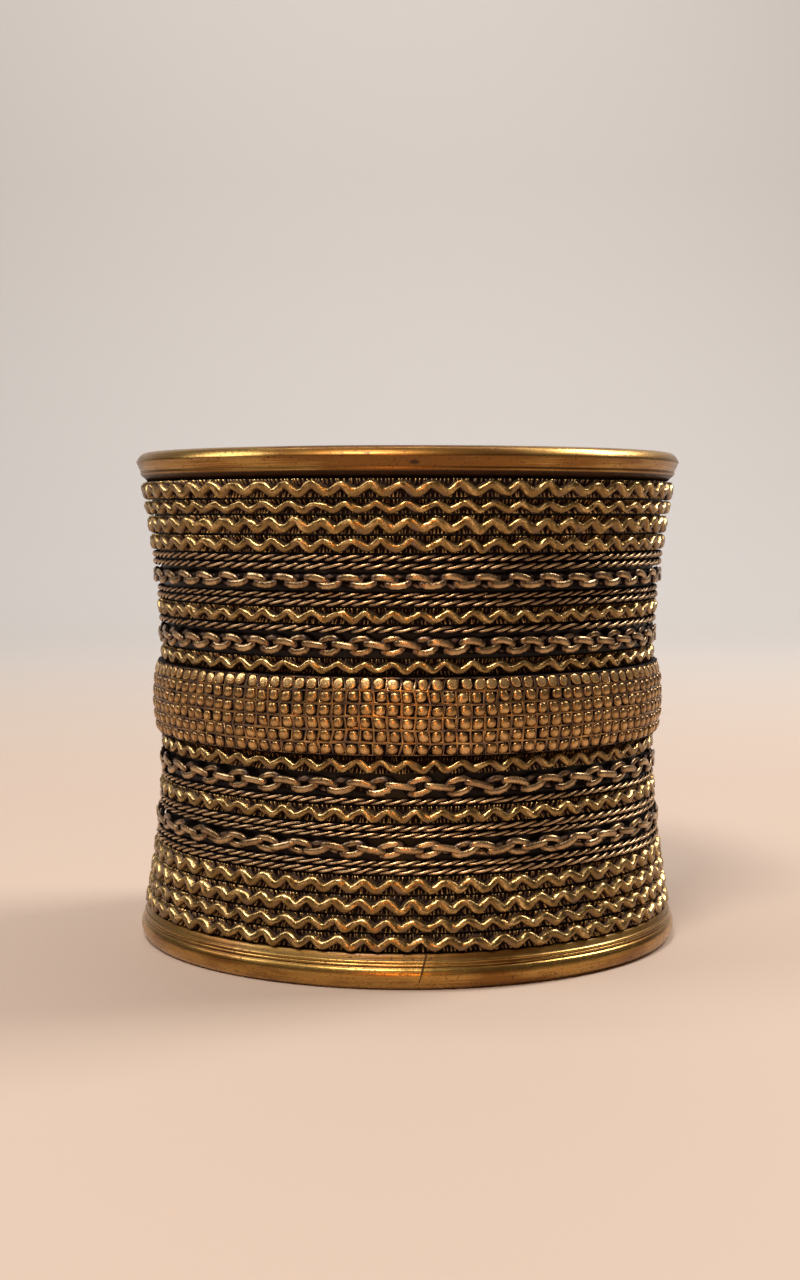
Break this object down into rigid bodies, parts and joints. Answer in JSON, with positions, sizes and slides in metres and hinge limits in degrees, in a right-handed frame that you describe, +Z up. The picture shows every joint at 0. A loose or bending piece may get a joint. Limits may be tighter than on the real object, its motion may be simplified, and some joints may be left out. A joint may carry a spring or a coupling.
{
  "type": "arm cuff",
  "caption": "Wide flared brass arm cuff, open at the back, with polished rims and rows of zigzag strips, twisted ropes and link chains about a broad beaded waist band.",
  "frame": {"origin": "under the middle of the cuff's box, on the surface that the bottom rim stands on", "axes": "+Z up along the arm hollow, -Y out of the front, +Y out of the opening at the back, +X across the width"},
  "size_m": [0.0696, 0.057, 0.062],
  "materials": {
    "polished_brass": "polished, with fine scratches and a little brown tarnish in the grooves",
    "antique_brass": "antiqued, bright on the crests and brown-black in the recesses"
  },
  "bodies": {
    "root": {"cuff_wall": "polished_brass", "top_rim": "polished_brass", "bottom_rim": "polished_brass", "bead_band": "antique_brass", "zigzag_strip_01": "antique_brass", "zigzag_strip_02": "antique_brass", "zigzag_strip_03": "antique_brass", "zigzag_strip_04": "antique_brass", "zigzag_strip_05": "antique_brass", "zigzag_strip_06": "antique_brass", "zigzag_strip_07": "antique_brass", "zigzag_strip_08": "antique_brass", "zigzag_strip_09": "antique_brass", "zigzag_strip_10": "antique_brass", "zigzag_strip_11": "antique_brass", "zigzag_strip_12": "antique_brass", "rope_01": "antique_brass", "rope_02": "antique_brass", "rope_03": "antique_brass", "rope_04": "antique_brass", "rope_05": "antique_brass", "rope_06": "antique_brass", "rope_07": "antique_brass", "rope_08": "antique_brass", "rope_09": "antique_brass", "rope_10": "antique_brass", "chain_01": "antique_brass", "chain_02": "antique_brass", "chain_03": "antique_brass", "chain_04": "antique_brass"}
  },
  "joints": []
}
